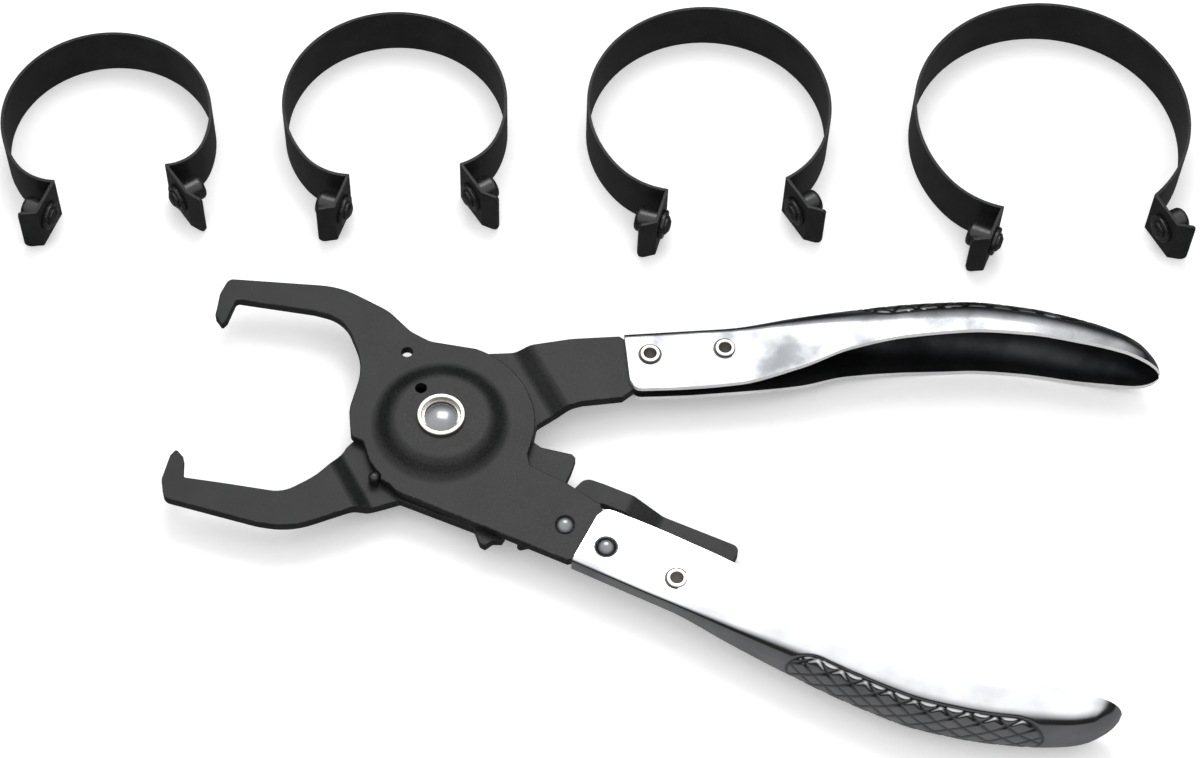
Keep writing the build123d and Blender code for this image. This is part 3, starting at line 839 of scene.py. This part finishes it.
# ------------------------------------------------------------------ studio
@dataclass
class Studio:
    aim: tuple[float, float, float] = (3.49, -8.21, 0.0)
    elevation: float = 58.5
    roll: float = 2.45
    distance: float = 822.3
    lens: float = 90.0
    sky_gain: float = 1.35
    sky: tuple[tuple[float, float], ...] = (
        (-1.0, 0.12),
        (-0.08, 0.10),
        (0.02, 0.01),
        (0.30, 0.02),
        (0.55, 0.55),
        (0.72, 0.95),
        (1.0, 1.0),
    )

    def floor(self) -> None:
        size = 3.0
        verts = [(-size, -size, 0), (size, -size, 0), (size, size, 0), (-size, size, 0)]
        mesh = bpy.data.meshes.new("floor")
        mesh.from_pydata(verts, [], [(0, 1, 2, 3)])
        paper = bpy.data.objects.new("floor", mesh)
        mesh.materials.append(BenchPaper().material())
        paper.location.z = -0.0001
        paper.visible_glossy = False
        bpy.context.scene.collection.objects.link(paper)

    def light(
        self, name: str, place: tuple[float, float, float], size: tuple[float, float], watts: float
    ) -> None:
        """Args:
            name: Name of the lamp.
            place: Where it hangs, in metres.
            size: Width and height of the panel.
            watts: Power.
        """
        data = bpy.data.lights.new(name, "AREA")
        data.shape = "RECTANGLE"
        data.size, data.size_y = size
        data.energy = watts
        lamp = bpy.data.objects.new(name, data)
        lamp.location = place
        towards = Vector((0, 0, 0)) - Vector(place)
        lamp.rotation_euler = towards.to_track_quat("-Z", "Y").to_euler()
        bpy.context.scene.collection.objects.link(lamp)

    def surround(self) -> None:
        """Dim room round the bench."""
        world = bpy.data.worlds.new("room")
        world.use_nodes = True
        tree = world.node_tree
        tree.nodes.clear()
        heading = add_node(tree, "ShaderNodeTexCoord").outputs["Generated"]
        height = add_node(tree, "ShaderNodeSeparateXYZ", {"Vector": heading}).outputs["Z"]
        rise = add_node(
            tree, "ShaderNodeMapRange", {"Value": height, "From Min": -1.0, "From Max": 1.0}
        ).outputs["Result"]
        bands = [(z / 2 + 0.5, (v, v, v, 1.0)) for z, v in self.sky]
        tone = add_node(
            tree, "ShaderNodeValToRGB", {"Fac": rise}, stops=bands
        ).outputs["Color"]
        air = add_node(tree, "ShaderNodeBackground", {"Color": tone, "Strength": self.sky_gain})
        add_node(tree, "ShaderNodeOutputWorld", {"Surface": air.outputs[0]})
        bpy.context.scene.world = world

    def camera(self) -> None:
        """Set up the camera over the bench."""
        tilt = math.radians(self.elevation)
        forward = Vector((0, math.cos(tilt), -math.sin(tilt)))
        right = Vector((1, 0, 0))
        above = right.cross(forward)
        turn = math.radians(self.roll)
        side = right * math.cos(turn) + above * math.sin(turn)
        upward = above * math.cos(turn) - right * math.sin(turn)
        data = bpy.data.cameras.new("bench_camera")
        data.lens = self.lens
        data.sensor_width = 36.0
        data.sensor_fit = "HORIZONTAL"
        data.clip_start = 0.01
        shot = bpy.data.objects.new("bench_camera", data)
        basis = Matrix((side, upward, -forward)).transposed().to_4x4()
        eye = (Vector(self.aim) - forward * self.distance) * MM
        shot.matrix_world = Matrix.Translation(eye) @ basis
        bpy.context.scene.collection.objects.link(shot)
        bpy.context.scene.camera = shot

    def build(self) -> None:
        """Set the whole studio."""
        self.floor()
        self.light("overhead_panel", (0.0, 0.45, 0.95), (0.5, 0.4), 3.0)
        self.surround()
        self.camera()
        bpy.context.scene.view_settings.view_transform = "Standard"


def main() -> None:
    """Load the frame, dress the pieces, build the grips and set the studio."""
    logging.basicConfig(level=logging.INFO, format="%(name)s: %(message)s")
    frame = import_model()
    finishes = {
        Slot.BLACK_STEEL: BlackOxideSteel().material(),
        Slot.BLACK_FIXING: BlackLacquer().material(),
        Slot.BRIGHT_HANDLE: PlatedMetal(
            "bright_nickel_plate", "#e9eaec", "#d2d4d8", 0.10
        ).material(),
        Slot.BRIGHT_FIXING: PlatedMetal("zinc_plate", "#dedcd6", "#bdbab2", 0.26).material(),
        Slot.SPRING_WIRE: PlatedMetal("drawn_spring_wire", "#8a8b8e", "#6a6b6e", 0.30).material(),
    }
    slots = {row["node"]: row["material_slot"] for row in frame["record"]["subparts"]}
    dome = PlatedMetal("dark_polished_rivet", "#909294", "#6c6e70", 0.20).material()
    strip = BlackOxideSteel(name="blackened_strip", scuffing=1.0, edge_mm=0.25).material()
    special = {name: dome for name in ("lower_handle_rivet", "pawl_rivet", "pivot_rivet")}
    special.update({name: strip for name in slots if name.endswith("_strip")})
    Dresser(finishes, special).dress(frame["nodes"], slots)
    # Painted shade: a dark copy of the plate on the inside faces, for the shadow inside the
    # channels.
    inside = PlatedMetal("inner_plate_painted_shade", "#46474a", "#2a2b2d", 0.45).material()
    # Painted highlight: a near-white, mostly non-metal finish on the rim and end faces, for the
    # bright line along the rolled rim.
    rim = PlatedMetal("rim_painted_highlight", "#f2f2f2", "#dcdcdc", 0.55, metal=0.15).material()
    # Painted shade: the upper grip takes a darker copy of the nickel plate, for the dimmer
    # reflection on its top wall.
    upper_skin = PlatedMetal("nickel_plate_painted_shade", "#a9abae", "#6f7174", 0.20).material()
    skins = {"upper_handle": upper_skin, "lower_handle": finishes[Slot.BRIGHT_HANDLE]}
    grips = (
        ChannelGrip(
            "upper_handle", "moving_half", (47.7, 30.0), 8.0, GripSide.LEFT, knurl_half=12.0
        ),
        ChannelGrip("lower_handle", "fixed_half", (36.3, -40.6), -24.5, GripSide.RIGHT),
    )
    for grip in grips:
        shell = grip.build()
        grip.dress(shell, [skins[grip.node], inside, rim])
        # Dark rings round the fixing heads: painted shadow.
        grip.seat_shadows(finishes[Slot.BLACK_FIXING])
        log.info("built %s", shell.name)
    Studio().build()


if __name__ == "__main__":
    main()
